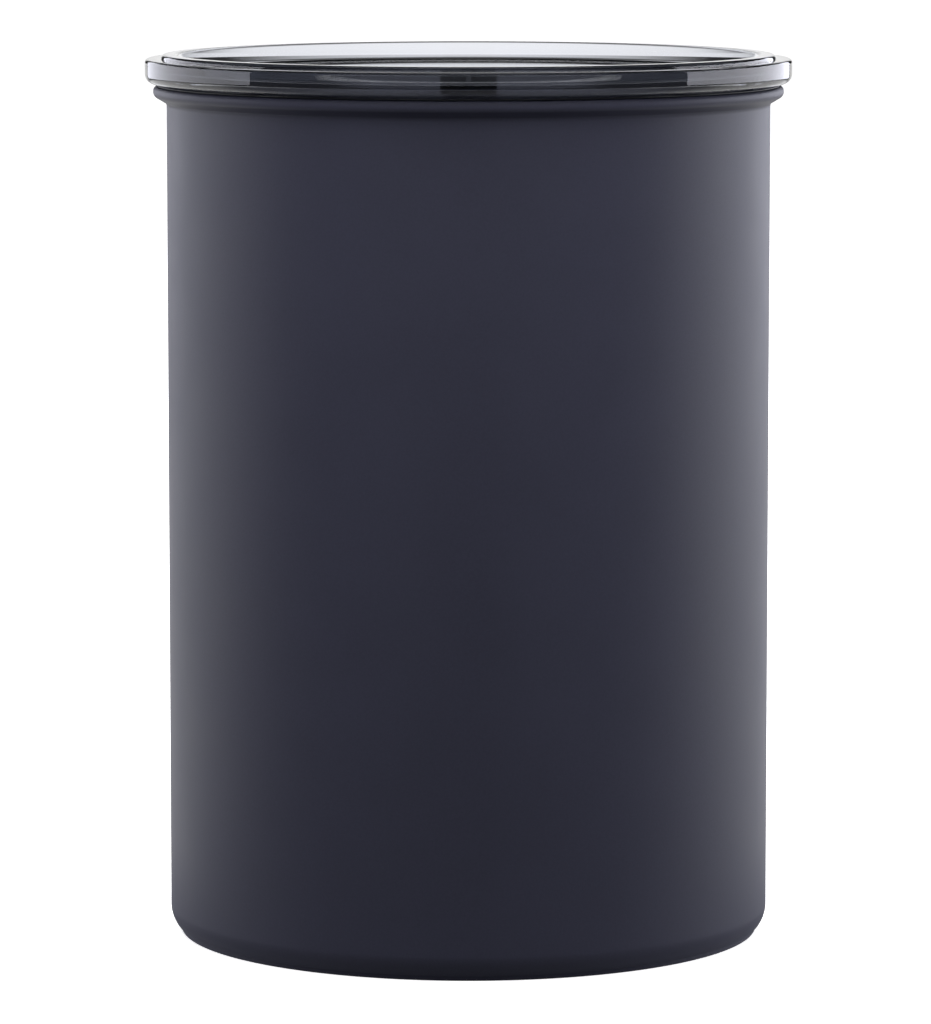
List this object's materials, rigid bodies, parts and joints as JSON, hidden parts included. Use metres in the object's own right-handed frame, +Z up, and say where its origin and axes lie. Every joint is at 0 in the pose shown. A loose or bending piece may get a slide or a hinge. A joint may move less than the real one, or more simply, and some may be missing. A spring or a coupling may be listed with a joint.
{
  "type": "coffee canister",
  "caption": "Cylindrical steel coffee canister with a clear smoke outer lid and a sliding inner lid whose handle opens an air valve.",
  "frame": {"origin": "centre of the foot ring on the table plane", "axes": "+Z up along the canister's axis; the inner lid's handle hinges about X and folds towards -Y, the front"},
  "size_m": [0.1308, 0.1308, 0.1788],
  "materials": {
    "coated_steel": "matt charcoal powder coat outside, bare brushed steel inside",
    "coated_base": "matt charcoal powder coat",
    "smoke_plastic": "clear, lightly smoked, polished",
    "clear_silicone": "translucent silicone",
    "dark_silicone": "matt black silicone",
    "black_plastic": "fine moulded grain",
    "grey_silicone": "matt silicone",
    "plain_steel": "turned stainless steel",
    "handle_plastic": "satin moulded",
    "spring_steel": "drawn spring wire"
  },
  "bodies": {
    "canister": {"canister_shell": "coated_steel", "base_pan": "coated_base"},
    "outer_lid": {"outer_lid": "smoke_plastic", "outer_lid_gasket": "dark_silicone"},
    "inner_lid": {"inner_lid_plate": "black_plastic", "wiper_gasket": "grey_silicone", "hinge_bracket": "black_plastic", "bracket_screws": "plain_steel", "hinge_pins": "plain_steel", "valve_spring": "spring_steel"},
    "handle": {"pull_handle": "handle_plastic"},
    "valve": {"valve_stem": "plain_steel", "valve_disc": "plain_steel", "valve_seal": "clear_silicone", "stem_clip": "spring_steel"}
  },
  "joints": [
    {"name": "outer_lid_lift", "type": "slide", "parent": "canister", "child": "outer_lid", "axis": [0, 0, 1], "range_m": [0, 0.06]},
    {"name": "inner_lid_plunge", "type": "slide", "parent": "canister", "child": "inner_lid", "axis": [0, 0, -1], "range_m": [0, 0.095]},
    {"name": "handle_fold", "type": "hinge", "parent": "inner_lid", "child": "handle", "pos_m": [0, 0, 0.12705], "axis": [-1, 0, 0], "range_deg": [0, 90]},
    {"name": "valve_push", "type": "slide", "parent": "inner_lid", "child": "valve", "axis": [0, 0, -1], "range_m": [0, 0.0026], "deforming": ["valve_spring"]}
  ],
  "couplings": [
    {"joint": "valve_push", "follows": "handle_fold", "m_per_rad": 0.001655}
  ]
}
